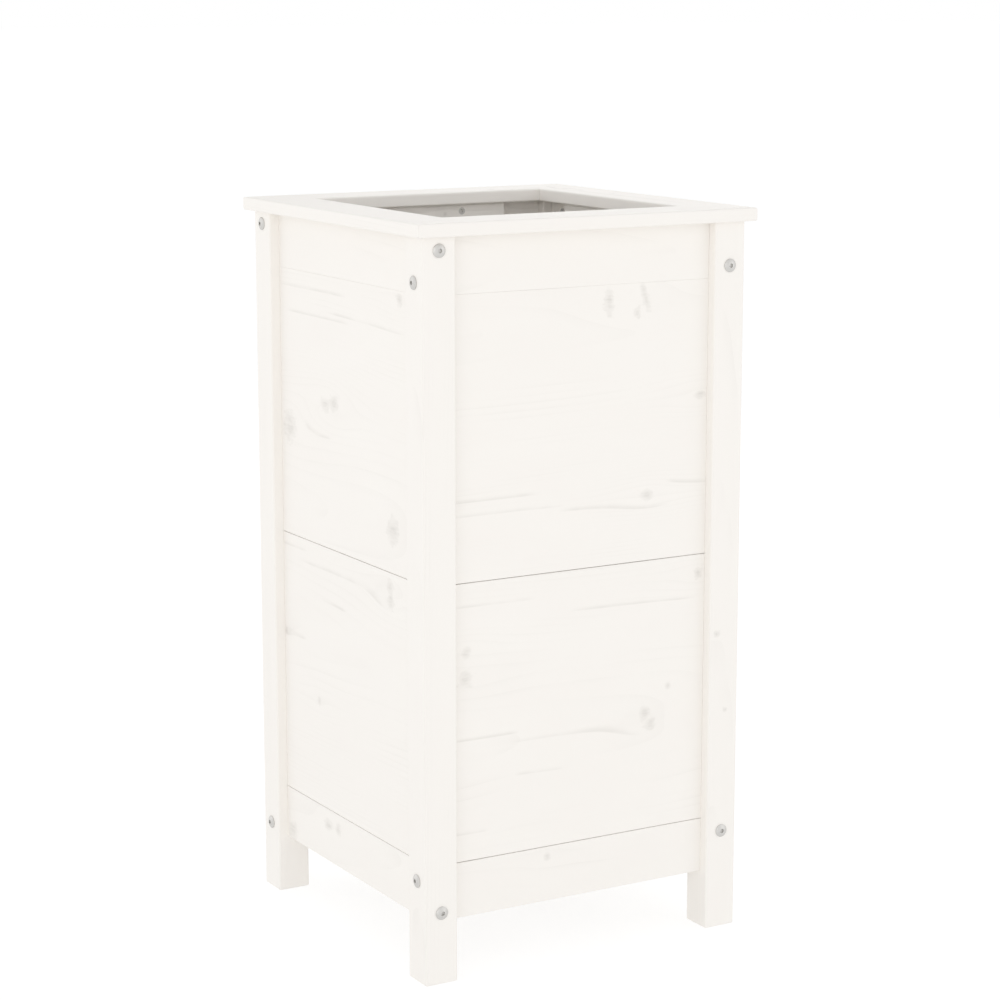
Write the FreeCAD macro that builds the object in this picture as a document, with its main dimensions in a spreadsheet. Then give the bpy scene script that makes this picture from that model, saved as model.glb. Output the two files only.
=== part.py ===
"""Tall square planter of painted softwood: posts, panelled sides, a flat mitred rim and a slatted floor.

Millimetres, +Z up. The origin is on the ground at the middle of the planter, the front faces -Y.
Every side is the same, so each piece of the front side is made once and turned about Z for the other sides.
"""
import FreeCAD, Part
import Sketcher
import os
import re

# The driving sizes, each set by itself.
SIZES = [
    ("total_height", 780, "ground to the top of the rim"),
    ("rim_span", 400, "outer width of the square rim"),
    ("rim_board_width", 59, "width of one rim board"),
    ("rim_thickness", 14, "thickness of the rim boards"),
    ("rim_overhang", 9, "rim past the outer faces of the posts"),
    ("rim_round", 2, "rounding of the long edges of the rim boards"),
    ("post_side", 37, "side of the square posts"),
    ("post_round", 2, "rounding of the upright edges of the posts"),
    ("foot_ease", 1.5, "chamfer round the lower end of the posts"),
    ("foot_height", 63, "clear height under the bottom rails"),
    ("rail_height", 59, "height of the top and bottom rails"),
    ("board_thickness", 14, "thickness of the rails and boards"),
    ("seam_gap", 0.6, "open seam under each board"),
    ("edge_ease", 0.5, "chamfer along the open seams"),
    ("tongue_thickness", 5, "thickness of the edge tongues"),
    ("tongue_reach", 5, "depth of the edge grooves"),
    ("groove_depth", 7, "depth of the board groove in a post"),
    ("end_room", 0.8, "room past the end of a board, dowel or screw"),
    ("fit", 0.1, "clearance on each side of a close fit"),
    ("bolt_margin", 13.5, "edge of a rail to the axis of a bolt or dowel"),
    ("bolt_diameter", 6, "shank of the connector bolts"),
    ("bolt_room", 0.3, "clearance round the bolt shank"),
    ("bolt_tail", 9, "bolt past the middle of its nut"),
    ("bolt_tip_ease", 1, "chamfer of the bolt tip"),
    ("bolt_head_diameter", 14, "width of the domed bolt head"),
    ("bolt_head_height", 3, "height of the domed bolt head"),
    ("bolt_head_edge", 0.8, "upright edge below the dome"),
    ("socket_width", 4, "hexagon socket across its flats"),
    ("socket_depth", 2.2, "depth of the hexagon socket"),
    ("nut_diameter", 10, "diameter of the barrel nuts"),
    ("nut_length", 10, "length of the barrel nuts"),
    ("nut_setback", 24, "end of a rail to the middle of its nut"),
    ("slot_width", 1.5, "width of the slot in the end of a nut"),
    ("slot_depth", 1.5, "depth of the slot in the end of a nut"),
    ("dowel_diameter", 6, "diameter of the rail dowels"),
    ("dowel_web", 3.5, "wood between a dowel hole and the crossing bolt hole"),
    ("dowel_in_rail", 13, "depth of a dowel in the end of a rail"),
    ("dowel_ease", 1, "chamfer of the dowel ends"),
    ("spline_thickness", 3, "thickness of the splines in the rim mitres"),
    ("spline_width", 16, "width of a spline across its mitre"),
    ("spline_length", 40, "length of a spline along its mitre"),
    ("cleat_side", 16, "side of the square cleats"),
    ("rim_cleat_length", 200, "length of the cleats under the rim"),
    ("cleat_end_margin", 25, "end of a rim cleat to its rim screw"),
    ("screw_stagger", 30, "rim screw to the next cleat screw"),
    ("floor_thickness", 14, "thickness of the floor slats"),
    ("floor_gap", 8, "drainage gap between floor slats"),
    ("floor_room", 1.5, "room round the floor"),
    ("screw_diameter", 4, "shank of the wood screws"),
    ("screw_head_diameter", 8, "countersunk head of the wood screws"),
    ("screw_point", 4, "length of the screw point"),
    ("screw_bite", 9, "screw past the piece that its head sits in"),
    ("recess_width", 1.2, "arm width of the cross recess in a screw head"),
    ("recess_depth", 1.2, "depth of the cross recess in a screw head"),
]

# Worked out from the driving sizes: places are distances from the middle, or heights over the ground.
LAYOUT = [
    ("post_height", "total_height - rim_thickness"),
    ("rim_half", "rim_span / 2"),
    ("opening_half", "rim_half - rim_board_width"),
    ("outer_half", "rim_half - rim_overhang"),
    ("inner_half", "outer_half - post_side"),
    ("side_middle", "outer_half - post_side / 2"),
    ("side_inside", "side_middle - board_thickness / 2"),
    ("side_outside", "side_middle + board_thickness / 2"),
    ("bottom_rail_top", "foot_height + rail_height"),
    ("top_rail_base", "post_height - rail_height"),
    ("board_height", "(top_rail_base - bottom_rail_top) / 2 - seam_gap"),
    ("lower_board_base", "bottom_rail_top + seam_gap"),
    ("upper_board_base", "lower_board_base + board_height + seam_gap"),
    ("board_half", "inner_half + groove_depth - end_room"),
    ("panel_slot", "board_thickness + 2 * fit"),
    ("low_outer", "foot_height + bolt_margin"),
    ("low_inner", "bottom_rail_top - bolt_margin"),
    ("high_inner", "top_rail_base + bolt_margin"),
    ("high_outer", "post_height - bolt_margin"),
    ("bolt_hole_radius", "bolt_diameter / 2 + bolt_room"),
    ("bolt_length", "post_side + nut_setback + bolt_tail"),
    ("bolt_bore_depth", "nut_setback + bolt_tail + end_room"),
    ("nut_place", "inner_half - nut_setback"),
    ("nut_bore_depth", "(board_thickness + nut_length) / 2"),
    ("dowel_hole_radius", "dowel_diameter / 2 + fit"),
    ("dowel_in_post", "post_side / 2 - bolt_hole_radius - dowel_web"),
    ("mitre_middle", "rim_half - rim_board_width / 2"),
    ("rim_middle", "post_height + rim_thickness / 2"),
    ("cleat_middle", "side_inside - cleat_side / 2"),
    ("cleat_inside", "side_inside - cleat_side"),
    ("rim_cleat_base", "post_height - cleat_side"),
    ("rim_cleat_half", "rim_cleat_length / 2"),
    ("rim_screw_place", "rim_cleat_half - cleat_end_margin"),
    ("cleat_screw_place", "rim_screw_place - screw_stagger"),
    ("floor_cleat_base", "foot_height + (rail_height - cleat_side) / 2"),
    ("floor_cleat_half", "inner_half - floor_room"),
    ("floor_base", "floor_cleat_base + cleat_side"),
    ("floor_top", "floor_base + floor_thickness"),
    ("floor_half", "side_inside - floor_room"),
    ("slat_width", "(floor_half - 1.5 * floor_gap) / 2"),
    ("slat_pitch", "slat_width + floor_gap"),
    ("notch_half", "inner_half - floor_room"),
    ("screw_hole_radius", "screw_diameter / 2 + fit"),
    ("screw_bore_depth", "screw_bite + end_room"),
    ("screw_head_height", "(screw_head_diameter - screw_diameter) / 2"),
    ("cleat_screw_length", "cleat_side + screw_bite"),
    ("floor_screw_length", "floor_thickness + screw_bite"),
    ("socket_corner", "socket_width / sqrt(3)"),
]

SIDES = ["front", "right", "back", "left"]
CORNERS = ["front_left", "front_right", "back_right", "back_left"]
ALL_SIDE_ANGLES = [0, 90, 180, 270]
FRONT_AND_BACK_ANGLES = ALL_SIDE_ANGLES[0::2]
RIGHT_AND_LEFT_ANGLES = ALL_SIDE_ANGLES[1::2]
BOTH_ENDS = (-1, 1)
MITRE_ANGLE = 45
COUNTERSINK_ANGLE = 90
UP = FreeCAD.Vector(0, 0, 1)
ALONG_Y = FreeCAD.Vector(0, 1, 0)

# The origin plane square to each axis, and which way its normal points along that axis.
PLANES = {"X": ("YZ_Plane", 1), "Y": ("XZ_Plane", -1), "Z": ("XY_Plane", 1)}

doc = FreeCAD.newDocument("tall_planter")
nodes = []


# Spreadsheets

def fill_sheet(name, rows):
    """A sheet with one named cell for each (alias, cell text) row."""
    sheet = doc.addObject("Spreadsheet::Sheet", name)
    for number, (alias, text) in enumerate(rows, start=1):
        sheet.set(f"A{number}", alias)
        sheet.set(f"B{number}", text)
        sheet.setAlias(f"B{number}", alias)
    return sheet


CELL = {alias: f"Sizes.{alias}" for alias, value, meaning in SIZES}
CELL.update({alias: f"Layout.{alias}" for alias, formula in LAYOUT})


def cells(formula):
    """The formula with each size's name replaced by its cell."""
    return re.sub(r"[a-z_]+", lambda word: CELL.get(word.group(), word.group()), formula)


fill_sheet("Sizes", [(alias, str(value)) for alias, value, meaning in SIZES])
layout = fill_sheet("Layout", [(alias, "=" + cells(formula)) for alias, formula in LAYOUT])
doc.recompute()


def value_of(formula):
    return float(layout.evalExpression(cells(formula)))


# Sketches

def new_body(label):
    body = doc.addObject("PartDesign::Body", label)
    body.Label = label
    return body


def sketch_across(body, name, axis, at="0", turn=0):
    """A sketch square to an axis, at a place along it, turned by an angle about it."""
    role, sign = PLANES[axis]
    plane = next(feature for feature in body.Origin.OriginFeatures if feature.Role == role)
    sketch = body.newObject("Sketcher::SketchObject", f"{body.Name}_{name}_sketch")
    sketch.AttachmentSupport = [(plane, "")]
    sketch.MapMode = "FlatFace"
    sketch.AttachmentOffset = FreeCAD.Placement(FreeCAD.Vector(), FreeCAD.Rotation(UP, turn))
    sketch.setExpression("AttachmentOffset.Base.z", cells(at if sign > 0 else f"-({at})"))
    return sketch


def fix_point(sketch, piece, end, place):
    """Ties one end of a piece of a sketch to a place given by two formulas."""
    for kind, axis_line, formula in zip(("DistanceX", "DistanceY"), (-2, -1), place):
        if formula == "0":
            sketch.addConstraint(Sketcher.Constraint("PointOnObject", piece, end, axis_line))
            continue
        tie = Sketcher.Constraint(kind, -1, 1, piece, end, value_of(formula))
        sketch.setExpression(f"Constraints[{sketch.addConstraint(tie)}]", cells(formula))


def draw_outline(sketch, places):
    """A closed outline of straight lines through places given by formulas."""
    points = [FreeCAD.Vector(value_of(across), value_of(along)) for across, along in places]
    first = sketch.GeometryCount
    count = len(points)
    for index in range(count):
        sketch.addGeometry(Part.LineSegment(points[index], points[(index + 1) % count]))
    for index in range(count):
        following = first + (index + 1) % count
        sketch.addConstraint(Sketcher.Constraint("Coincident", first + index, 2, following, 1))
    for index, place in enumerate(places):
        fix_point(sketch, first + index, 1, place)


def draw_rectangle(sketch, left, right, low, high):
    draw_outline(sketch, [(left, low), (right, low), (right, high), (left, high)])


def draw_circles(sketch, radius, places):
    for place in places:
        middle = FreeCAD.Vector(value_of(place[0]), value_of(place[1]))
        circle = sketch.addGeometry(Part.Circle(middle, UP, value_of(radius)))
        fix_point(sketch, circle, 3, place)
        tie = Sketcher.Constraint("Radius", circle, value_of(radius))
        sketch.setExpression(f"Constraints[{sketch.addConstraint(tie)}]", cells(radius))


# Features

def extrude(kind, body, name, sketch, axis, length, direction):
    """A pad or pocket along an axis: direction 1 is up the axis, -1 down it, 0 both ways."""
    feature = body.newObject(f"PartDesign::{kind}", f"{body.Name}_{name}")
    feature.Profile = sketch
    normal = PLANES[axis][1]
    outward = normal if kind == "Pad" else -normal
    feature.Reversed = direction * outward < 0
    if direction == 0:
        feature.SideType = "Symmetric"
    feature.setExpression("Length", cells(length))
    return feature


def add_block(body, name, axis, at, length, direction, rectangle):
    sketch = sketch_across(body, name, axis, at)
    draw_rectangle(sketch, *rectangle)
    return extrude("Pad", body, name, sketch, axis, length, direction)


def cut_block(body, name, axis, at, length, direction, rectangles, turn=0):
    sketch = sketch_across(body, name, axis, at, turn)
    for rectangle in rectangles:
        draw_rectangle(sketch, *rectangle)
    return extrude("Pocket", body, name, sketch, axis, length, direction)


def bore(body, name, axis, at, depth, direction, radius, places):
    sketch = sketch_across(body, name, axis, at)
    draw_circles(sketch, radius, places)
    return extrude("Pocket", body, name, sketch, axis, depth, direction)


def countersink(body, name, axis, at, places):
    """Screw holes right through a piece, from the face at a place along the axis towards lower values."""
    sketch = sketch_across(body, name, axis, at)
    draw_circles(sketch, "screw_hole_radius", places)
    doc.recompute()
    hole = body.newObject("PartDesign::Hole", f"{body.Name}_{name}")
    hole.Profile = sketch
    hole.Reversed = PLANES[axis][1] < 0
    hole.DepthType = "ThroughAll"
    hole.HoleCutType = "Countersink"
    hole.HoleCutCustomValues = True
    hole.HoleCutCountersinkAngle = COUNTERSINK_ANGLE
    hole.setExpression("Diameter", cells("2 * screw_hole_radius"))
    hole.setExpression("HoleCutDiameter", cells("screw_head_diameter + 2 * fit"))
    return hole


def spin(body, name, sketch):
    """A turned piece about its own X axis."""
    feature = body.newObject("PartDesign::Revolution", f"{body.Name}_{name}")
    feature.Profile = sketch
    feature.ReferenceAxis = (sketch, ["H_Axis"])
    return feature


def dress_edges(kind, body, name, base, size, wanted):
    """Rounds (Fillet) or chamfers (Chamfer) the edges of a feature that a test picks out."""
    doc.recompute()
    picked = [f"Edge{number}" for number, edge in enumerate(base.Shape.Edges, start=1) if wanted(edge)]
    feature = body.newObject(f"PartDesign::{kind}", f"{body.Name}_{name}")
    feature.Base = (base, picked)
    feature.setExpression("Radius" if kind == "Fillet" else "Size", cells(size))
    return feature


def runs_along(edge, axis):
    """True for a straight edge along an axis."""
    reach = edge.BoundBox
    lengths = {"X": reach.XLength, "Y": reach.YLength, "Z": reach.ZLength}
    return lengths.pop(axis) > sum(lengths.values())


def lies_at(place, formula):
    return abs(place - value_of(formula)) < value_of("fit")


# Copies

def turned_copies(body, name, places, turns):
    """The finished body and its copies, one for each named place, turned about Z to stand there."""
    for place, turn in zip(places, turns):
        piece = body
        if turn != turns[0]:
            piece = new_body(f"{name}_{place}")
            base = doc.addObject("PartDesign::FeatureBase", f"{name}_{place}_base")
            base.BaseFeature = body
            piece.Group = [base]
            piece.Tip = base
        piece.Placement = FreeCAD.Placement(FreeCAD.Vector(), FreeCAD.Rotation(UP, turn))
        nodes.append(piece)


def place_link(name, source, place, rotation):
    """A linked copy of a piece, its place given by three formulas."""
    link = doc.addObject("App::Link", name)
    link.LinkedObject = source
    link.Placement = FreeCAD.Placement(FreeCAD.Vector(), rotation)
    for axis, formula in zip("xyz", place):
        link.setExpression(f"Placement.Base.{axis}", cells(formula))
    return link


def group(label, source, placings):
    """A compound of linked copies of one piece, each with its own (place, rotation)."""
    compound = doc.addObject("Part::Compound", label)
    compound.Label = label
    compound.Links = [
        place_link(f"{label}_{number}", source, place, rotation)
        for number, (place, rotation) in enumerate(placings, start=1)
    ]
    return compound


def fastener_node(label, source, placings, turns):
    """One node with every copy of a fastener: the front side's, turned about Z to the other sides."""
    side = group(f"{label}_of_one_side", source, placings)
    around = [(("0", "0", "0"), FreeCAD.Rotation(UP, turn)) for turn in turns]
    nodes.append(group(label, side, around))


# Posts and sides

def make_posts():
    """The front left post: its front face takes the outer bolts, its left face the inner ones."""
    body = new_body("post_front_left")
    stock = add_block(body, "stock", "Z", "0", "post_height", 1,
                      ("-outer_half", "-inner_half", "-outer_half", "-inner_half"))
    rounded = dress_edges("Fillet", body, "rounding", stock, "post_round",
                          lambda edge: runs_along(edge, "Z"))
    dress_edges("Chamfer", body, "foot", rounded, "foot_ease",
                lambda edge: lies_at(edge.BoundBox.ZMax, "0"))
    slot = ("-side_middle - panel_slot / 2", "-side_middle + panel_slot / 2")
    depth = ("-inner_half - groove_depth", "-inner_half + groove_depth")
    cut_block(body, "board_grooves", "Z", "bottom_rail_top - fit",
              "top_rail_base - bottom_rail_top + 2 * fit", 1, [depth + slot, slot + depth])
    inner = [("-side_middle", "low_inner"), ("-side_middle", "high_inner")]
    outer = [("-side_middle", "low_outer"), ("-side_middle", "high_outer")]
    bore(body, "bolt_holes_across", "X", "-outer_half", "post_side", 1, "bolt_hole_radius", inner)
    bore(body, "bolt_holes_deep", "Y", "-outer_half", "post_side", 1, "bolt_hole_radius", outer)
    bore(body, "dowel_holes_across", "X", "-inner_half", "dowel_in_post", -1, "dowel_hole_radius", outer)
    bore(body, "dowel_holes_deep", "Y", "-inner_half", "dowel_in_post", -1, "dowel_hole_radius", inner)
    turned_copies(body, "post", CORNERS, ALL_SIDE_ANGLES)


def cut_edge_groove(body, top):
    cut_block(body, "edge_groove", "Z", top, "tongue_reach", -1,
              [("-board_half", "board_half",
                "-side_middle - tongue_thickness / 2 - fit", "-side_middle + tongue_thickness / 2 + fit")])


def add_tongue(body, base, length):
    """A tongue below a rail or board, between the posts."""
    add_block(body, "tongue", "Z", base, length, -1,
              ("-inner_half + fit", "inner_half - fit",
               "-side_middle - tongue_thickness / 2", "-side_middle + tongue_thickness / 2"))


def ease_seams(body, stock, heights):
    """Chamfers the outer long edges of a rail or board at the given heights."""
    dress_edges("Chamfer", body, "easing", stock, "edge_ease",
                lambda edge: runs_along(edge, "X") and lies_at(edge.BoundBox.YMin, "-side_outside")
                and any(lies_at(edge.BoundBox.ZMin, height) for height in heights))


def bore_rail_ends(body, inner, outer):
    """Bolt at the inner height and dowel at the outer one in the left end, the reverse in the right end."""
    for side, bolt_height, dowel_height in ((-1, inner, outer), (1, outer, inner)):
        end = "left" if side < 0 else "right"
        face = f"{side} * inner_half"
        bore(body, f"bolt_bore_{end}", "X", face, "bolt_bore_depth", -side, "bolt_hole_radius",
             [("-side_middle", bolt_height)])
        bore(body, f"dowel_bore_{end}", "X", face, "dowel_in_rail", -side, "dowel_hole_radius",
             [("-side_middle", dowel_height)])
    bore(body, "nut_bores", "Y", "-side_inside", "nut_bore_depth", -1, "nut_diameter / 2 + fit",
         [("-nut_place", inner), ("nut_place", outer)])


def make_top_rails():
    body = new_body("top_rail_front")
    add_block(body, "stock", "X", "0", "2 * inner_half", 0,
              ("-side_outside", "-side_inside", "top_rail_base", "post_height"))
    add_tongue(body, "top_rail_base", "tongue_reach - fit")
    bore_rail_ends(body, "high_inner", "high_outer")
    bore(body, "cleat_screw_holes", "Y", "-side_inside", "screw_bore_depth", -1, "screw_hole_radius",
         [(f"{end} * cleat_screw_place", "rim_cleat_base + cleat_side / 2") for end in BOTH_ENDS])
    turned_copies(body, "top_rail", SIDES, ALL_SIDE_ANGLES)


def make_bottom_rails():
    """Bottom rails. Those at the front and back also hold a floor cleat."""
    rails = [new_body("bottom_rail_front"), new_body("bottom_rail_right")]
    for body in rails:
        stock = add_block(body, "stock", "X", "0", "2 * inner_half", 0,
                          ("-side_outside", "-side_inside", "foot_height", "bottom_rail_top"))
        ease_seams(body, stock, ["foot_height", "bottom_rail_top"])
        cut_edge_groove(body, "bottom_rail_top")
        bore_rail_ends(body, "low_inner", "low_outer")
    bore(rails[0], "cleat_screw_holes", "Y", "-side_inside", "screw_bore_depth", -1, "screw_hole_radius",
         FLOOR_CLEAT_SCREWS)
    turned_copies(rails[0], "bottom_rail", ["front", "back"], FRONT_AND_BACK_ANGLES)
    turned_copies(rails[1], "bottom_rail", ["right", "left"], RIGHT_AND_LEFT_ANGLES)


def make_boards(name, base):
    body = new_body(f"{name}_front")
    top = f"{base} + board_height"
    stock = add_block(body, "stock", "X", "0", "2 * board_half", 0,
                      ("-side_outside", "-side_inside", base, top))
    ease_seams(body, stock, [base, "lower_board_base + board_height"])
    add_tongue(body, base, "seam_gap + tongue_reach")
    cut_edge_groove(body, top)
    turned_copies(body, name, SIDES, ALL_SIDE_ANGLES)


# Rim

def make_rim_boards():
    """Mitred boards. A spline slot is cut across each mitre, and screws come up from the cleat."""
    body = new_body("rim_board_front")
    sketch = sketch_across(body, "stock", "Z", "post_height")
    draw_outline(sketch, [("-rim_half", "-rim_half"), ("rim_half", "-rim_half"),
                          ("opening_half", "-opening_half"), ("-opening_half", "-opening_half")])
    stock = extrude("Pad", body, "stock", sketch, "Z", "rim_thickness", 1)
    dress_edges("Fillet", body, "rounding", stock, "rim_round", lambda edge: runs_along(edge, "X"))
    for end, name in zip(BOTH_ENDS, ("left", "right")):
        along = f"{end} * mitre_middle * sqrt(2)"
        cut_block(body, f"spline_slot_{name}", "Z", "rim_middle", "spline_thickness + 2 * fit", 0,
                  [(f"{along} - spline_length / 2 - fit", f"{along} + spline_length / 2 + fit",
                    "-spline_width / 2 - fit", "spline_width / 2 + fit")], -end * MITRE_ANGLE)
    bore(body, "screw_holes", "Z", "post_height", "screw_bore_depth", 1, "screw_hole_radius",
         [(f"{end} * rim_screw_place", "-cleat_middle") for end in BOTH_ENDS])
    turned_copies(body, "rim_board", SIDES, ALL_SIDE_ANGLES)


def make_mitre_splines():
    body = new_body("mitre_spline")
    add_block(body, "stock", "Z", "0", "spline_thickness", 0,
              ("-spline_length / 2", "spline_length / 2", "-spline_width / 2", "spline_width / 2"))
    place = ("-mitre_middle", "-mitre_middle", "rim_middle")
    fastener_node("mitre_splines", body, [(place, FreeCAD.Rotation(UP, MITRE_ANGLE))], ALL_SIDE_ANGLES)


def make_rim_cleats():
    body = new_body("rim_cleat_front")
    add_block(body, "stock", "X", "0", "rim_cleat_length", 0,
              ("-side_inside", "-cleat_inside", "rim_cleat_base", "post_height"))
    countersink(body, "cleat_screw_holes", "Y", "-cleat_inside",
                [(f"{end} * cleat_screw_place", "rim_cleat_base + cleat_side / 2") for end in BOTH_ENDS])
    hole = countersink(body, "rim_screw_holes", "Z", "rim_cleat_base",
                       [(f"{end} * rim_screw_place", "-cleat_middle") for end in BOTH_ENDS])
    hole.Reversed = True
    turned_copies(body, "rim_cleat", SIDES, ALL_SIDE_ANGLES)


# Floor

SLATS = ["left", "mid_left", "mid_right", "right"]
SLAT_MIDDLES = [f"({number} - {len(SLATS) - 1} / 2) * slat_pitch" for number in range(len(SLATS))]
FLOOR_CLEAT_SCREWS = [(f"{middle} + slat_pitch / 2", "floor_cleat_base + cleat_side / 2")
                      for middle in SLAT_MIDDLES[:-1]]


def make_floor_cleats():
    body = new_body("floor_cleat_front")
    add_block(body, "stock", "X", "0", "2 * floor_cleat_half", 0,
              ("-side_inside", "-cleat_inside", "floor_cleat_base", "floor_base"))
    countersink(body, "cleat_screw_holes", "Y", "-cleat_inside", FLOOR_CLEAT_SCREWS)
    bore(body, "floor_screw_holes", "Z", "floor_base", "screw_bore_depth", -1, "screw_hole_radius",
         [(middle, "-cleat_middle") for middle in SLAT_MIDDLES])
    turned_copies(body, "floor_cleat", ["front", "back"], FRONT_AND_BACK_ANGLES)


def make_floor_slats():
    """Slats from front to back. The outer two are notched round the posts."""
    for name, middle in zip(SLATS, SLAT_MIDDLES):
        body = new_body(f"floor_slat_{name}")
        add_block(body, "stock", "Z", "floor_base", "floor_thickness", 1,
                  (f"{middle} - slat_width / 2", f"{middle} + slat_width / 2", "-floor_half", "floor_half"))
        if name in ("left", "right"):
            side = -1 if name == "left" else 1
            across = (f"{side} * notch_half", f"{side} * outer_half")
            cut_block(body, "post_notches", "Z", "floor_base", "floor_thickness", 1,
                      [across + ("-outer_half", "-notch_half"), across + ("notch_half", "outer_half")])
        countersink(body, "screw_holes", "Z", "floor_top",
                    [(middle, f"{end} * cleat_middle") for end in BOTH_ENDS])
        nodes.append(body)


# Fasteners

def make_connector_bolts():
    """Domed hexagon socket bolts along X, with the underside of the head at X 0."""
    body = new_body("connector_bolt")
    sketch = sketch_across(body, "profile", "Z")
    places = [("-bolt_head_edge", "bolt_head_diameter / 2"), ("0", "bolt_head_diameter / 2"),
              ("0", "bolt_diameter / 2"), ("bolt_length - bolt_tip_ease", "bolt_diameter / 2"),
              ("bolt_length", "bolt_diameter / 2 - bolt_tip_ease"), ("bolt_length", "0"),
              ("-bolt_head_height", "0")]
    points = [FreeCAD.Vector(value_of(along), value_of(out)) for along, out in places]
    lines = len(points) - 1
    for index in range(lines):
        sketch.addGeometry(Part.LineSegment(points[index], points[index + 1]))
    rise = points[0].x - points[-1].x
    dome_radius = (rise ** 2 + points[0].y ** 2) / (2 * rise)
    dome = Part.Circle(FreeCAD.Vector(points[-1].x + dome_radius, 0), UP, dome_radius)
    sketch.addGeometry(Part.ArcOfCircle(dome, dome.parameter(points[0]), dome.parameter(points[-1])))
    for index in range(lines - 1):
        sketch.addConstraint(Sketcher.Constraint("Coincident", index, 2, index + 1, 1))
    sketch.addConstraint(Sketcher.Constraint("Coincident", lines, 1, 0, 1))
    sketch.addConstraint(Sketcher.Constraint("Coincident", lines, 2, lines - 1, 2))
    sketch.addConstraint(Sketcher.Constraint("PointOnObject", lines, 3, -1))
    for index in range(lines):
        fix_point(sketch, index, 1, places[index])
    fix_point(sketch, lines - 1, 2, places[-1])
    spin(body, "turning", sketch)
    socket = sketch_across(body, "socket", "X", "-bolt_head_height")
    half_corner = "socket_corner / 2"
    flat = "socket_width / 2"
    draw_outline(socket, [("socket_corner", "0"), (half_corner, flat), (f"-{half_corner}", flat),
                          ("-socket_corner", "0"), (f"-{half_corner}", f"-{flat}"),
                          (half_corner, f"-{flat}")])
    extrude("Pocket", body, "socket", socket, "X", "socket_depth", 1)
    fastener_node("connector_bolts", body, end_places("outer_half", "inner", "outer"), ALL_SIDE_ANGLES)


def end_places(reach, left_height, right_height):
    """Places at both ends of the front side's two rails, with the right end turned about to face inward."""
    placings = []
    for level in ("low", "high"):
        placings.append(((f"-{reach}", "-side_middle", f"{level}_{left_height}"), FreeCAD.Rotation()))
        placings.append(((reach, "-side_middle", f"{level}_{right_height}"), FreeCAD.Rotation(UP, 180)))
    return placings


def make_barrel_nuts():
    """Barrel nuts along Y, bored along X for the bolt, with a slot in the end that faces the inside."""
    body = new_body("barrel_nut")
    sketch = sketch_across(body, "stock", "Y")
    draw_circles(sketch, "nut_diameter / 2", [("0", "0")])
    extrude("Pad", body, "stock", sketch, "Y", "nut_length", 0)
    bore(body, "bolt_hole", "X", "0", "2 * nut_diameter", 0, "bolt_diameter / 2 + fit", [("0", "0")])
    cut_block(body, "slot", "Y", "nut_length / 2", "slot_depth", -1,
              [("-nut_diameter", "nut_diameter", "-slot_width / 2", "slot_width / 2")])
    placings = [(place, FreeCAD.Rotation()) for place, rotation in end_places("nut_place", "inner", "outer")]
    fastener_node("barrel_nuts", body, placings, ALL_SIDE_ANGLES)


def make_rail_dowels():
    """Dowels along X, with the joint between the post and the rail at X 0."""
    body = new_body("rail_dowel")
    sketch = sketch_across(body, "profile", "Z")
    back = "-dowel_in_post + fit"
    front = "dowel_in_rail - fit"
    edge = "dowel_diameter / 2"
    draw_outline(sketch, [(back, "0"), (back, f"{edge} - dowel_ease"), (f"{back} + dowel_ease", edge),
                          (f"{front} - dowel_ease", edge), (front, f"{edge} - dowel_ease"), (front, "0")])
    spin(body, "turning", sketch)
    fastener_node("rail_dowels", body, end_places("inner_half", "outer", "inner"), ALL_SIDE_ANGLES)


def new_screw(label, length):
    """A countersunk wood screw that points along X, with the top of its head at X 0."""
    body = new_body(label)
    sketch = sketch_across(body, "profile", "Z")
    shank = "screw_diameter / 2"
    draw_outline(sketch, [("0", "0"), ("0", "screw_head_diameter / 2"), ("screw_head_height", shank),
                          (f"{length} - screw_point", shank), (length, "0")])
    spin(body, "turning", sketch)
    arm = (f"-{shank}", shank)
    thickness = ("-recess_width / 2", "recess_width / 2")
    cut_block(body, "recess_level", "X", "0", "recess_depth", 1, [arm + thickness])
    cut_block(body, "recess_upright", "X", "0", "recess_depth", 1, [thickness + arm])
    return body


def make_screws():
    outward = FreeCAD.Rotation(UP, -90)
    upward = FreeCAD.Rotation(ALONG_Y, -90)
    downward = FreeCAD.Rotation(ALONG_Y, 90)
    cleat_screw = new_screw("cleat_screw", "cleat_screw_length")
    floor_screw = new_screw("floor_screw", "floor_screw_length")
    level = "rim_cleat_base + cleat_side / 2"
    rim_cleat_places = [((f"{end} * cleat_screw_place", "-cleat_inside", level), outward)
                        for end in BOTH_ENDS]
    floor_cleat_places = [((along, "-cleat_inside", height), outward) for along, height in FLOOR_CLEAT_SCREWS]
    rim_places = [((f"{end} * rim_screw_place", "-cleat_middle", "rim_cleat_base"), upward)
                  for end in BOTH_ENDS]
    floor_places = [((middle, "-cleat_middle", "floor_top"), downward) for middle in SLAT_MIDDLES]
    fastener_node("rim_cleat_screws", cleat_screw, rim_cleat_places, ALL_SIDE_ANGLES)
    fastener_node("floor_cleat_screws", cleat_screw, floor_cleat_places, FRONT_AND_BACK_ANGLES)
    fastener_node("rim_screws", cleat_screw, rim_places, ALL_SIDE_ANGLES)
    fastener_node("floor_screws", floor_screw, floor_places, FRONT_AND_BACK_ANGLES)


make_posts()
make_top_rails()
make_boards("upper_board", "upper_board_base")
make_boards("lower_board", "lower_board_base")
make_bottom_rails()
make_rim_boards()
make_mitre_splines()
make_rim_cleats()
make_floor_cleats()
make_floor_slats()
make_connector_bolts()
make_barrel_nuts()
make_rail_dowels()
make_screws()
doc.recompute()


# Checks and files

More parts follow.
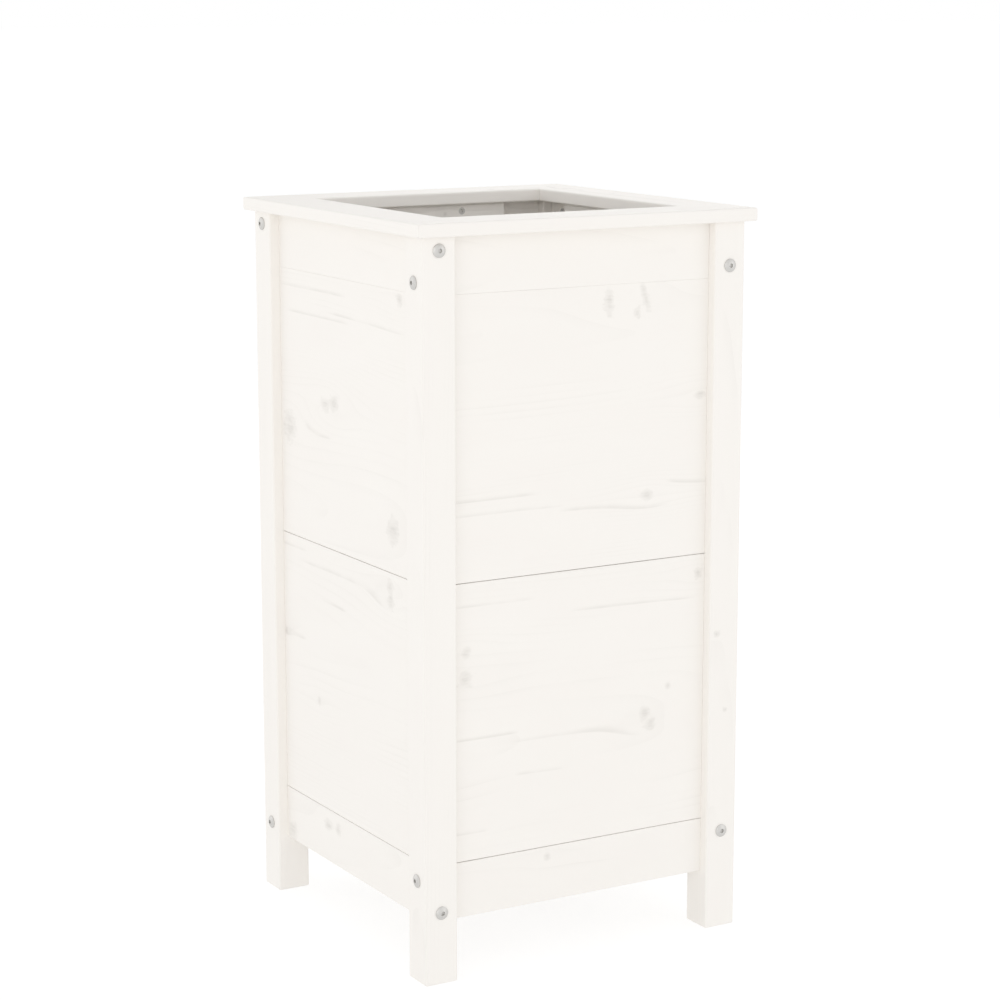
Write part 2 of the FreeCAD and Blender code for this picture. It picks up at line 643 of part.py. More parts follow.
def check_model():
    """Stops at a failed object, a bad shape or a cut that took nothing away."""
    for item in doc.Objects:
        if "Invalid" in item.State or "Error" in item.State:
            raise RuntimeError(f"{item.Label} failed: {item.State}")
        if item.isDerivedFrom("PartDesign::Pocket") or item.isDerivedFrom("PartDesign::Hole"):
            if item.Shape.Volume >= item.BaseFeature.Shape.Volume:
                raise RuntimeError(f"{item.Label} cuts nothing")
    for node in nodes:
        if node.Shape.isNull() or not node.Shape.isValid():
            raise RuntimeError(f"{node.Label} has no valid shape")


check_model()
os.makedirs("parts", exist_ok=True)
for node in nodes:
    node.Shape.exportStep(f"parts/{node.Label}.step")
    box = node.Shape.BoundBox
    print(f"{node.Label}: {len(node.Shape.Solids)} solids, "
          f"{box.XLength:.1f} x {box.YLength:.1f} x {box.ZLength:.1f}, volume {node.Shape.Volume:.0f}")
print(len(nodes), "nodes")
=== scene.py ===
# %% [markdown]
# # A tall planter of white-painted pine
# The planter is a square box on four posts: boards between the posts, a flat rim on top, zinc bolts at the
# corners. The CAD model gives every size and place. This script loads it as a frame, rebuilds the wood with
# soft edges, sets the fasteners, mixes the finishes and lights the scene. Everything is in metres, in the
# CAD frame.

# %% The frame
import math
import random
import bmesh
import bpy
from mathutils import Matrix, Vector


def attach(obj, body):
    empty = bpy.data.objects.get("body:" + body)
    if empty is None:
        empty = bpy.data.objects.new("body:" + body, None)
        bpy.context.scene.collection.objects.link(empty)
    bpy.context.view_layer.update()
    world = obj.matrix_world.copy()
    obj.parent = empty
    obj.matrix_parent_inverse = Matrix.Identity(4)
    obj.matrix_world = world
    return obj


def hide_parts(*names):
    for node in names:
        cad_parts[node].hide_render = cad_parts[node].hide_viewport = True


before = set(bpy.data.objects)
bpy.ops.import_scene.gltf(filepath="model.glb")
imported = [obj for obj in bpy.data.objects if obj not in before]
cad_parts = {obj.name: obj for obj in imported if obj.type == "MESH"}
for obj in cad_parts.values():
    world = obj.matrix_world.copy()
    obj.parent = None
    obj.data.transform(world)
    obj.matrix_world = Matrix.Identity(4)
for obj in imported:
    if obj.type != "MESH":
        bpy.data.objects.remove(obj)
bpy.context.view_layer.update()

MM = 0.001

# %% [markdown]
# ## One helper for every node
# Both kinds of trees here, the ones that make shapes and the ones that make finishes, are chains of nodes.
# One function adds a node, sets its options, fills its inputs with values or links, and hands back one
# output.

# %% Adding a node
def wire(tree, kind, inputs=(), out=0, **options):
    """Adds a node to a tree. An input that is given a socket is linked, any other input is set."""
    node = tree.nodes.new(kind)
    for name, value in options.items():
        setattr(node, name, value)
    for key, value in dict(inputs).items():
        if isinstance(value, bpy.types.NodeSocket):
            tree.links.new(value, node.inputs[key])
        else:
            node.inputs[key].default_value = value
    return node.outputs[out] if node.outputs else node


def linear(hex_colour):
    """An sRGB hex colour such as F0EDE8 as the linear red, green, blue and alpha that shaders use."""
    shares = [int(hex_colour[at:at + 2], 16) / 255 for at in (0, 2, 4)]
    return [s / 12.92 if s <= 0.04045 else ((s + 0.055) / 1.055) ** 2.4 for s in shares] + [1.0]


MATH = "ShaderNodeMath"
VECTOR_MATH = "ShaderNodeVectorMath"
SPLIT = "ShaderNodeSeparateXYZ"
RANGE = "ShaderNodeMapRange"
print("white paint in linear light:", [round(share, 3) for share in linear("F9F6F1")])

# %% [markdown]
# ## White paint over pine
# The boards are planed pine under a thin, satin white paint. Pine has growth rings that end in a darker,
# harder line, and round knots that the rings flow past. Thin paint hides the colour but lets these show as
# slightly greyer lines and smudges, and as a faint relief.
#
# The pattern has to follow each board, so every wooden piece carries numbers of its own: "grain",
# millimetres along, across and through the board; "pith", where the middle of the tree lies behind it;
# "knot_1" and so on, the places and radii of its knots, with a "knot_shape" each, because a branch that is
# sawn along leaves a stroke and not a disc; and "vein_1" and so on, single rings that stand out. A ring is
# then every place with the same distance from the pith, as in a real trunk, so faces, edges and ends of a
# board agree. Past a knot the rings run like water round a stone. That flow's stream function is the height
# across the board times (1 - R^2 / distance^2), so taking the second part off the height bends every ring
# round the knot in one step. The share that is taken off is squared here, because rings straighten out
# sooner than water does.

# %% White paint: the board's own coordinates
KNOTS = 6
VEINS = 6
RING_WIDTH = 4.5
RING_WANDER = 14.0
TRUNK_TAPER = 0.025
BEND_REACH = 3.4

paint = bpy.data.materials.new("white_satin_paint_on_pine")
paint.use_nodes = True
tree = paint.node_tree
tree.nodes.clear()
grain = wire(tree, "ShaderNodeAttribute", attribute_name="grain", out="Vector")
piece = wire(tree, "ShaderNodeAttribute", attribute_name="piece", out="Fac")
along, across, through = wire(tree, SPLIT, {0: grain}).node.outputs


def board_noise(lengths, detail, shift):
    """Noise over a board whose lumps have these lengths in mm, different on every piece."""
    scaled = wire(tree, VECTOR_MATH, {0: grain, 1: [1 / length for length in lengths]}, operation="MULTIPLY")
    number = wire(tree, MATH, {0: piece, 1: shift}, operation="ADD")
    return wire(tree, "ShaderNodeTexNoise", {"Vector": scaled, "W": number, "Scale": 1.0, "Detail": detail},
                noise_dimensions="4D")


wander = wire(tree, MATH, {0: board_noise((230, 55, 55), 2.0, 0.0), 1: 0.5}, operation="SUBTRACT")
blotch = board_noise((7, 5, 5), 3.0, 3.0)
streak = board_noise((16, 2.5, 2.5), 2.0, 5.0)
print("paint reads grain, piece, pith,", KNOTS, "knots and", VEINS, "veins")

# %% White paint: knots and the rings that flow round them
ragged = wire(tree, RANGE, {0: blotch, 1: 0.3, 2: 0.7, 3: 0.45, 4: 1.9})
bent = across
knots_seen = 0.0
near_knots = 0.0
for number in range(1, KNOTS + 1):
    knot = wire(tree, "ShaderNodeAttribute", attribute_name=f"knot_{number}", out="Vector")
    outline = wire(tree, "ShaderNodeAttribute", attribute_name=f"knot_shape_{number}", out="Vector")
    narrow, lean, low = wire(tree, SPLIT, {0: outline}).node.outputs
    radius = wire(tree, SPLIT, {0: knot}, out=2)
    offset = wire(tree, VECTOR_MATH, {0: grain, 1: knot}, operation="SUBTRACT")
    run, rise, _ = wire(tree, SPLIT, {0: offset}).node.outputs
    area = wire(tree, MATH, {0: radius, 1: radius}, operation="MULTIPLY")
    flow = wire(tree, VECTOR_MATH, {0: offset, 1: (0.4, 1, 0)}, operation="MULTIPLY")
    far = wire(tree, VECTOR_MATH, {0: flow, 1: flow}, out="Value", operation="DOT_PRODUCT")
    stone = wire(tree, MATH, {0: area, 1: BEND_REACH ** 2}, operation="MULTIPLY")
    past = wire(tree, MATH, {0: stone, 1: far}, operation="ADD")
    share = wire(tree, MATH, {0: stone, 1: past}, operation="DIVIDE")
    push = wire(tree, MATH, {0: share, 1: share}, operation="MULTIPLY")
    push = wire(tree, MATH, {0: rise, 1: push}, operation="MULTIPLY")
    bent = wire(tree, MATH, {0: bent, 1: push}, operation="SUBTRACT")
    near_knots = wire(tree, MATH, {0: near_knots, 1: share}, operation="MAXIMUM")
    oval_run = wire(tree, MATH, {0: run, 1: narrow}, operation="MULTIPLY")
    oval_run = wire(tree, MATH, {0: rise, 1: lean, 2: oval_run}, operation="MULTIPLY_ADD")
    oval_rise = wire(tree, MATH, {0: rise, 1: low}, operation="MULTIPLY")
    oval = wire(tree, "ShaderNodeCombineXYZ", {0: oval_run, 1: oval_rise})
    close = wire(tree, VECTOR_MATH, {0: oval, 1: oval}, out="Value", operation="DOT_PRODUCT")
    reach = wire(tree, MATH, {0: close, 1: area}, operation="DIVIDE")
    reach = wire(tree, MATH, {0: reach, 1: ragged}, operation="MULTIPLY")
    spot = wire(tree, RANGE, {0: reach, 1: 0.3, 2: 1.6, 3: 0.55, 4: 0.0}, interpolation_type="SMOOTHSTEP")
    heart = wire(tree, RANGE, {0: reach, 1: 0.02, 2: 0.4, 3: 0.45, 4: 0.0}, interpolation_type="SMOOTHSTEP")
    mark = wire(tree, MATH, {0: spot, 1: heart}, operation="ADD")
    knots_seen = wire(tree, MATH, {0: knots_seen, 1: mark}, operation="MAXIMUM")
streaked = wire(tree, RANGE, {0: streak, 1: 0.3, 2: 0.7, 3: 0.45, 4: 1.1})
knots_seen = wire(tree, MATH, {0: knots_seen, 1: streaked}, operation="MULTIPLY")
print("knot nodes:", len(tree.nodes))

# %% White paint: growth rings
pith = wire(tree, "ShaderNodeAttribute", attribute_name="pith", out="Vector")
pith_across, pith_depth, _ = wire(tree, SPLIT, {0: pith}).node.outputs
sideways = wire(tree, MATH, {0: wander, 1: RING_WANDER, 2: bent}, operation="MULTIPLY_ADD")
sideways = wire(tree, MATH, {0: sideways, 1: pith_across}, operation="SUBTRACT")
inward = wire(tree, MATH, {0: through, 1: pith_depth}, operation="ADD")
inward = wire(tree, MATH, {0: along, 1: TRUNK_TAPER, 2: inward}, operation="MULTIPLY_ADD")
from_pith = wire(tree, "ShaderNodeCombineXYZ", {0: sideways, 1: inward})
from_pith = wire(tree, VECTOR_MATH, {0: from_pith}, out="Value", operation="LENGTH")
years = wire(tree, MATH, {0: from_pith, 1: 1 / RING_WIDTH}, operation="MULTIPLY")
season = wire(tree, MATH, {0: years}, operation="FRACT")
late_wood = wire(tree, MATH, {0: season, 1: 5.0}, operation="POWER")
patch = wire(tree, RANGE, {0: board_noise((170, 22, 22), 2.0, 11.0), 1: 0.45, 2: 0.72, 3: 0.0, 4: 1.0},
             interpolation_type="SMOOTHSTEP")
beside = wire(tree, RANGE, {0: near_knots, 1: 0.15, 2: 0.6, 3: 0.0, 4: 0.6}, interpolation_type="SMOOTHSTEP")
patch = wire(tree, MATH, {0: patch, 1: beside}, operation="MAXIMUM")
rings = wire(tree, MATH, {0: late_wood, 1: patch}, operation="MULTIPLY")
print("ring and knot nodes:", len(tree.nodes))

# %% White paint: single rings that stand out
vein_height = wire(tree, MATH, {0: wander, 1: 5.0, 2: bent}, operation="MULTIPLY_ADD")
vein_break = wire(tree, RANGE, {0: board_noise((45, 14, 14), 2.0, 17.0), 1: 0.35, 2: 0.6, 3: 0.25, 4: 1.0})
veins = 0.0
for number in range(1, VEINS + 1):
    vein = wire(tree, "ShaderNodeAttribute", attribute_name=f"vein_{number}", out="Vector")
    level, middle, reach = wire(tree, SPLIT, {0: vein}).node.outputs
    gap = wire(tree, MATH, {0: vein_height, 1: level}, operation="SUBTRACT")
    line = wire(tree, RANGE, {0: gap, 1: 0.0, 2: 5.5, 3: 1.0, 4: 0.0}, interpolation_type="SMOOTHSTEP")
    start = wire(tree, RANGE, {0: gap, 1: -1.6, 2: 0.0, 3: 0.0, 4: 1.0}, interpolation_type="SMOOTHSTEP")
    line = wire(tree, MATH, {0: line, 1: start}, operation="MULTIPLY")
    line = wire(tree, MATH, {0: line, 1: 2.0}, operation="POWER")
    away = wire(tree, MATH, {0: along, 1: middle}, operation="SUBTRACT")
    away = wire(tree, MATH, {0: away}, operation="ABSOLUTE")
    fade_start = wire(tree, MATH, {0: reach, 1: 0.7}, operation="MULTIPLY")
    fade = wire(tree, RANGE, {0: away, 1: fade_start, 2: reach, 3: 1.0, 4: 0.0})
    line = wire(tree, MATH, {0: line, 1: fade}, operation="MULTIPLY")
    veins = wire(tree, MATH, {0: veins, 1: line}, operation="MAXIMUM")
veins = wire(tree, MATH, {0: veins, 1: vein_break}, operation="MULTIPLY")
print("with veins:", len(tree.nodes))

# %% White paint: colour, gloss and relief
tint = wire(tree, "ShaderNodeMix", {0: board_noise((120, 40, 40), 2.0, 23.0), 6: linear("F9F6F1"),
                                    7: linear("F7F3EE")}, out=2, data_type="RGBA")
dark = wire(tree, MATH, {0: rings, 1: 0.12}, operation="MULTIPLY")
dark = wire(tree, MATH, {0: veins, 1: 0.34, 2: dark}, operation="MULTIPLY_ADD")
dark = wire(tree, MATH, {0: knots_seen, 1: 0.58, 2: dark}, operation="MULTIPLY_ADD", use_clamp=True)
colour = wire(tree, "ShaderNodeMix", {0: dark, 6: tint, 7: linear("D6D2CC")}, out=2, data_type="RGBA")
# Wood fibres are about 0.05 mm wide. They are drawn 2 mm wide and 60 mm long, the finest that shows here.
fibre = board_noise((60, 2, 2), 3.0, 29.0)
height = wire(tree, MATH, {0: fibre, 1: 0.25}, operation="MULTIPLY")
height = wire(tree, MATH, {0: rings, 1: -0.5, 2: height}, operation="MULTIPLY_ADD")
height = wire(tree, MATH, {0: veins, 1: -1.0, 2: height}, operation="MULTIPLY_ADD")
height = wire(tree, MATH, {0: knots_seen, 1: -0.7, 2: height}, operation="MULTIPLY_ADD")
relief = wire(tree, "ShaderNodeBump", {"Height": height, "Strength": 0.6, "Distance": 0.12 * MM})
gloss = wire(tree, RANGE, {0: fibre, 1: 0.3, 2: 0.7, 3: 0.46, 4: 0.56})
skin = wire(tree, "ShaderNodeBsdfPrincipled",
            {"Base Color": colour, "Roughness": gloss, "Normal": relief, "IOR": 1.5})
wire(tree, "ShaderNodeOutputMaterial", {"Surface": skin})
print("white paint has", len(tree.nodes), "nodes")

# %% [markdown]
# ## One tree that planes every piece of wood
# Posts, rails, boards, rim, cleats and slats are all sawn sticks with rounded edges, so one Geometry Nodes
# tree makes them from named sizes. It starts from a cube of grid points, counts each point's steps in from
# the edge, and gives the outer three steps to the rounding, one to a narrow flat that keeps the shading
# crisp, and the rest to the face. Pushing the outer steps onto a quarter circle is then one normalised
# vector. A boolean or a Bevel modifier could round a box too, but here every edge can have its own radius
# and the mesh stays all quads.

# %% The planed wood tree
STEPS = (20, 12, 7)
ROUND_STEPS = 3
FLAT = 0.5 * MM


def new_tree(name, sizes):
    """A Geometry Nodes tree with named inputs. Gives the tree, its inputs and where its result goes."""
    made = bpy.data.node_groups.new(name, "GeometryNodeTree")
    made.interface.new_socket("Geometry", in_out="INPUT", socket_type="NodeSocketGeometry")
    for label, kind in sizes.items():
        made.interface.new_socket(label, in_out="INPUT", socket_type=f"NodeSocket{kind}")
    made.interface.new_socket("Geometry", in_out="OUTPUT", socket_type="NodeSocketGeometry")
    return made, made.nodes.new("NodeGroupInput").outputs, made.nodes.new("NodeGroupOutput").inputs[0]


wood_tree, given, result = new_tree("planed_wood", {
    "Size": "Vector", "Round Low": "Vector", "Round High": "Vector", "Tongue": "Float", "Mitre": "Float",
    "Wave": "Float", "Seed": "Float", "Material": "Material"})
tree = wood_tree
stick = wire(tree, "GeometryNodeMeshCube", {"Size": (2, 2, 2), "Vertices X": 2 * STEPS[0] + 1,
                                            "Vertices Y": 2 * STEPS[1] + 1, "Vertices Z": 2 * STEPS[2] + 1})
spot = wire(tree, "GeometryNodeInputPosition")
side = wire(tree, VECTOR_MATH, {0: spot}, operation="SIGN")
inward = wire(tree, VECTOR_MATH, {0: spot}, operation="ABSOLUTE")
inward = wire(tree, VECTOR_MATH, {0: (1, 1, 1), 1: inward}, operation="SUBTRACT")
inward = wire(tree, VECTOR_MATH, {0: inward, 1: STEPS}, operation="MULTIPLY")
shares = []
for first, last in (((0, 0, 0), [ROUND_STEPS] * 3), ([ROUND_STEPS] * 3, [ROUND_STEPS + 1] * 3),
                    ([ROUND_STEPS + 1] * 3, STEPS)):
    shares.append(wire(tree, RANGE, {6: inward, 7: first, 8: last, 9: (1, 1, 1), 10: (0, 0, 0)}, out=1,
                       data_type="FLOAT_VECTOR"))
round_share, flat_share, face_share = shares
print("planed wood:", [2 * count + 1 for count in STEPS], "points each way")

# %% The planed wood tree: rounding, tongue, mitre and wave
half = wire(tree, VECTOR_MATH, {0: given["Size"], "Scale": 0.5}, operation="SCALE")
upper = wire(tree, VECTOR_MATH, {0: side, 1: (0.5, 0.5, 0.5), 2: (0.5, 0.5, 0.5)}, operation="MULTIPLY_ADD")
spread = wire(tree, VECTOR_MATH, {0: given["Round High"], 1: given["Round Low"]}, operation="SUBTRACT")
rounding = wire(tree, VECTOR_MATH, {0: spread, 1: upper, 2: given["Round Low"]}, operation="MULTIPLY_ADD")
face = wire(tree, VECTOR_MATH, {0: half, 1: rounding}, operation="SUBTRACT")
face = wire(tree, VECTOR_MATH, {0: face, 1: (FLAT, FLAT, FLAT)}, operation="SUBTRACT")
quarter = wire(tree, VECTOR_MATH, {0: round_share}, operation="NORMALIZE")
out_by = wire(tree, VECTOR_MATH, {0: face, 1: face_share}, operation="MULTIPLY")
out_by = wire(tree, VECTOR_MATH, {0: flat_share, 1: (FLAT, FLAT, FLAT), 2: out_by}, operation="MULTIPLY_ADD")
out_by = wire(tree, VECTOR_MATH, {0: quarter, 1: rounding, 2: out_by}, operation="MULTIPLY_ADD")
shape = wire(tree, VECTOR_MATH, {0: out_by, 1: side}, operation="MULTIPLY")
shape_x, shape_y, shape_z = wire(tree, SPLIT, {0: shape}).node.outputs
lower_edge = wire(tree, MATH, {0: wire(tree, SPLIT, {0: spot}, out=1), 1: -0.999}, operation="LESS_THAN")
depth = wire(tree, MATH, {0: shape_z}, operation="ABSOLUTE")
middle = wire(tree, MATH, {0: depth, 1: 2.6 * MM}, operation="LESS_THAN")
drop = wire(tree, MATH, {0: lower_edge, 1: middle}, operation="MULTIPLY")
drop = wire(tree, MATH, {0: drop, 1: given["Tongue"]}, operation="MULTIPLY")
shape_y = wire(tree, MATH, {0: shape_y, 1: drop}, operation="SUBTRACT")
half_length = wire(tree, SPLIT, {0: half}, out=0)
slope = wire(tree, MATH, {0: shape_y, 1: half_length}, operation="DIVIDE")
slope = wire(tree, MATH, {0: slope, 1: given["Mitre"]}, operation="MULTIPLY")
shorter = wire(tree, MATH, {0: 1.0, 1: slope}, operation="SUBTRACT")
shape_x = wire(tree, MATH, {0: shape_x, 1: shorter}, operation="MULTIPLY")
shape = wire(tree, "ShaderNodeCombineXYZ", {0: shape_x, 1: shape_y, 2: shape_z})
stick = wire(tree, "GeometryNodeSetPosition", {"Geometry": stick, "Position": shape})
wave = wire(tree, "ShaderNodeTexNoise", {"W": given["Seed"], "Scale": 9.0, "Detail": 1.0},
            noise_dimensions="4D")
wave = wire(tree, MATH, {0: wave, 1: 0.5}, operation="SUBTRACT")
wave = wire(tree, MATH, {0: wave, 1: given["Wave"]}, operation="MULTIPLY")
lift = wire(tree, VECTOR_MATH, {0: wire(tree, "GeometryNodeInputNormal"), "Scale": wave}, operation="SCALE")
stick = wire(tree, "GeometryNodeSetPosition", {"Geometry": stick, "Offset": lift})
stick = wire(tree, "GeometryNodeRealizeInstances", {"Geometry": stick})
stick = wire(tree, "GeometryNodeSetMaterial", {"Geometry": stick, "Material": given["Material"]})
tree.links.new(stick, result)
print("planed wood has", len(tree.nodes), "nodes")

# %% [markdown]
# ## Knots
# On the two sides that the photograph shows, the knots and the rings that stand out sit where they are on
# the real boards. A knot is millimetres along and across from the middle of its board, and a radius. Three
# more numbers make it a stroke: how much narrower it is along the board, how it leans, and how much
# narrower it is across. A ring is its height across the board, its middle along it, and how far it reaches.
# The other pieces get knots of their own from a fixed seed, because no two boards are alike.

# %% Knots of the boards
SEEN_KNOTS = {
    "upper_board_front": [(80, -76, 7, 0.85, 0, 1), (145, 24, 6.5, 0.8, 0, 1.3), (32, 129, 9, 1.5, 0, 0.55),
                          (76, 130, 8, 1.7, 0.5, 0.5), (66, 115, 5)],
    "lower_board_front": [(146, 126, 5.5), (80, -19, 8), (87, -31, 7), (-137, 74, 6), (-138, 47, 8),
                          (109, 8, 4)],
    "bottom_rail_front": [(-40, 19, 4)],
    "top_rail_front": [],
    "upper_board_left": [(122, 137, 6.5), (-48, 9, 9, 0.8, 0, 1.1), (-27, 12, 9, 0.8, 0, 1), (-133, -26, 16),
                         (105, -102, 14)],
    "lower_board_left": [(97, 131, 8), (98, 116, 8), (-150, 34, 4), (-70, -29, 5)],
    "bottom_rail_left": [(-52, 12, 8, 0.7, 0, 1.1), (-28, 13, 7), (-140, -20, 12)],
    "top_rail_left": [],
    "post_front_left": [],
    "post_front_right": [(-55, 9, 4), (-140, -3, 3)],
    "post_back_left": [],
    "rim_board_front": [],
    "rim_board_left": [],
}
SEEN_VEINS = {
    "upper_board_front": [(-78, -95, 75), (-83, 40, 68), (-69, 135, 32), (-63, -105, 55)],
    "lower_board_front": [(-16, -115, 42), (-26, -5, 80), (102, 65, 80), (119, -105, 50), (-62, -50, 30),
                          (-117, -135, 25)],
    "upper_board_left": [(125, -75, 80), (103, 45, 90), (96, -65, 75), (-18, -65, 32)],
    "lower_board_left": [(121, -10, 110), (133, -128, 32), (34, -130, 30), (87, -33, 30)],
}
chance = random.Random(41)


def knots_of(node, length, width):
    """The knots and veins of a piece: measured ones where the photograph shows them, else drawn by chance."""
    drawn = [(chance.uniform(-0.45, 0.45) * length, chance.uniform(-0.38, 0.38) * width,
              chance.uniform(3.0, 4.0 + width / 40)) for _ in range(chance.randint(1, 3))]
    line = [(knot[1] + 2.0, knot[0] / 2, 0.5 * length) for knot in drawn[:1]]
    if node in SEEN_KNOTS:
        return SEEN_KNOTS[node], SEEN_VEINS.get(node, [])
    return drawn, line


print("pieces with measured knots:", len(SEEN_KNOTS))

# %% [markdown]
# ## From tree to finished piece
# A modifier's inputs are set by the identifier of each socket. The evaluated result becomes a plain mesh,
# moved to its place in the planter, and drilled where a nut or screw head shows. The piece's own
# coordinates and knots are then written to the mesh for the paint to read.

# %% Making a piece of wood
FAR_OFF = (9999.0, 9999.0, 1.0)
DISC = (1.0, 0.0, 0.9)
wood_pieces = []


def run_tree(obj, node_tree, inputs):
    """Runs a tree on an object and leaves the object with the result as a plain mesh."""
    modifier = obj.modifiers.new(node_tree.name, "NODES")
    modifier.node_group = node_tree
    for socket in node_tree.interface.items_tree:
        if socket.in_out == "INPUT" and socket.name in inputs:
            modifier[socket.identifier] = inputs[socket.name]
    settle(obj)


def settle(obj):
    """Replaces an object's mesh by what its modifiers make of it, and removes the modifiers."""
    evaluated = obj.evaluated_get(bpy.context.evaluated_depsgraph_get())
    mesh = bpy.data.meshes.new_from_object(evaluated)
    obj.modifiers.clear()
    obj.data = mesh


def new_object(name, mesh):
    obj = bpy.data.objects.new(name, mesh)
    bpy.context.scene.collection.objects.link(obj)
    return obj


def write_attribute(mesh, name, kind, values):
    field = "value" if kind == "FLOAT" else "vector"
    mesh.attributes.new(name, kind, "POINT").data.foreach_set(field, values)


pith_chance = random.Random(17)


def pith_of(size):
    """Where the middle of the tree lies: off the middle of the piece, and some way behind it."""
    return (pith_chance.uniform(-0.4, 0.4) * size[1], size[2] / 2 + pith_chance.uniform(60, 150), 0.0)


def wooden_piece(node, sizes, place, cutter=None):
    """Planes one piece, puts it where the CAD node is, drills it, and writes what the paint reads."""
    number = len(wood_pieces) + 1
    knots, veins = knots_of(node, *sizes["size"][:2])
    piece = new_object(f"{node}_painted", bpy.data.meshes.new(node))
    run_tree(piece, wood_tree, {
        "Size": [size * MM for size in sizes["size"]],
        "Round Low": [size * MM for size in sizes["low"]],
        "Round High": [size * MM for size in sizes["high"]],
        "Tongue": sizes.get("tongue", 0.0) * MM, "Mitre": sizes.get("mitre", 0.0),
        "Wave": sizes.get("wave", 0.3) * MM, "Seed": float(number), "Material": paint})
    piece.data.transform(place)
    if cutter:
        drill = piece.modifiers.new("drill", "BOOLEAN")
        drill.object = cutter
        drill.solver = "EXACT"
        settle(piece)
    mesh = piece.data
    count = len(mesh.vertices)
    back = place.inverted()
    own = [share / MM for vertex in mesh.vertices for share in back @ vertex.co]
    write_attribute(mesh, "grain", "FLOAT_VECTOR", own)
    write_attribute(mesh, "piece", "FLOAT", [number * 7.3] * count)
    write_attribute(mesh, "pith", "FLOAT_VECTOR", list(pith_of(sizes["size"])) * count)
    for at in range(KNOTS):
        knot = knots[at] if at < len(knots) else FAR_OFF
        write_attribute(mesh, f"knot_{at + 1}", "FLOAT_VECTOR", list(knot[:3]) * count)
        write_attribute(mesh, f"knot_shape_{at + 1}", "FLOAT_VECTOR", list(knot[3:] or DISC) * count)
    for at in range(VEINS):
        vein = veins[at] if at < len(veins) else FAR_OFF
        write_attribute(mesh, f"vein_{at + 1}", "FLOAT_VECTOR", list(vein) * count)
    mesh.shade_smooth()
    mesh.set_sharp_from_angle(angle=math.radians(35))
    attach(piece, "root")
    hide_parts(node)
    wood_pieces.append(piece)
    return piece


# %% [markdown]
# ## Holes that show
# The rails have bores for the barrel nuts on their inside, and screw heads sit in countersinks. They are
# cut with a Boolean modifier, because a real hole keeps its depth and shadow from every side.

# %% Cutters
def turn_of(angle):
    return Matrix.Rotation(math.radians(angle), 4, "Z")


def hole_cutter(holes, turn):
    """One mesh of tapered plugs. A hole is its middle at the surface, the way in, two radii and a depth."""
    shape = bmesh.new()
    for start, way, wide, narrow, deep in holes:
        axis = Vector(way)
        length = (deep + 1.0) * MM
        middle = Vector(start) * MM + axis * (deep - 1.0) / 2 * MM
        stand = axis.to_track_quat("-Z", "Y").to_matrix().to_4x4()
        outer = wide + (wide - narrow) / deep
        bmesh.ops.create_cone(shape, cap_ends=True, segments=40, radius1=narrow * MM, radius2=outer * MM,
                              depth=length, matrix=turn @ Matrix.Translation(middle) @ stand)
    bmesh.ops.recalc_face_normals(shape, faces=shape.faces)
    mesh = bpy.data.meshes.new("cutter")
    shape.to_mesh(mesh)
    shape.free()
    return new_object("cutter", mesh)


def remove_cutter(cutter):
    mesh = cutter.data
    bpy.data.objects.remove(cutter)
    bpy.data.meshes.remove(mesh)


# %% [markdown]
# ## Posts
# Four square posts, 37 mm thick, stand on the floor and carry everything. Their upright edges are rounded
# by 2 mm and their feet are eased so that they don't splinter.

# %% Four posts
SIDES = {"front": 0, "right": 90, "back": 180, "left": 270}
CORNERS = {"front_left": 0, "front_right": 90, "back_right": 180, "back_left": 270}
SIDE_MIDDLE = 172.5
POST = {"size": (766, 37, 37), "low": (1.5, 2, 2), "high": (0.3, 2, 2)}


def at(x, y, z, tilt=Matrix()):
    """The place of a piece whose middle is at x, y, z in mm."""
    return Matrix.Translation(Vector((x, y, z)) * MM) @ tilt


STANDING = Matrix.Rotation(math.radians(-90), 4, "Y")
for corner, angle in CORNERS.items():
    node = f"post_{corner}"
    place = turn_of(angle) @ at(-SIDE_MIDDLE, -SIDE_MIDDLE, POST["size"][0] / 2, STANDING)
    wooden_piece(node, POST, place)
print("posts:", len(wood_pieces), "with", len(wood_pieces[0].data.polygons), "faces each")

# %% [markdown]
# ## Sides
# Each side has a top rail, two wide boards and a bottom rail, set back 11.5 mm from the post faces. The
# seams below the boards are left open by 0.6 mm so that the wood can swell, with a tongue behind them. The
# top rail sits close on the board below it, so that seam is only a hairline.

# %% Rails and boards
BETWEEN_POSTS = 308
SOFT = 0.5
CRISP = 0.12
UPRIGHT = Matrix.Rotation(math.radians(90), 4, "X")
TONGUE = 0.5
SIDE_PIECES = [
    ("bottom_rail", 63.0, 122.0, SOFT, SOFT, 0.0),
    ("lower_board", 122.6, 414.5, SOFT, SOFT, TONGUE),
    ("upper_board", 415.1, 707.0, SOFT, CRISP, TONGUE),
    ("top_rail", 707.0, 766.0, CRISP, CRISP, 0.0),
]
INSIDE_FACE = -165.5
OUTWARD = (0, -1, 0)
LOW_OUTER = 76.5
LOW_INNER = 108.5
HIGH_INNER = 720.5
HIGH_OUTER = 752.5
NUT_ACROSS = 130.0
NUT_HEIGHTS = {"bottom_rail": (LOW_INNER, LOW_OUTER), "top_rail": (HIGH_INNER, HIGH_OUTER)}
NUT_BORE = (5.1, 5.1, 12.0)
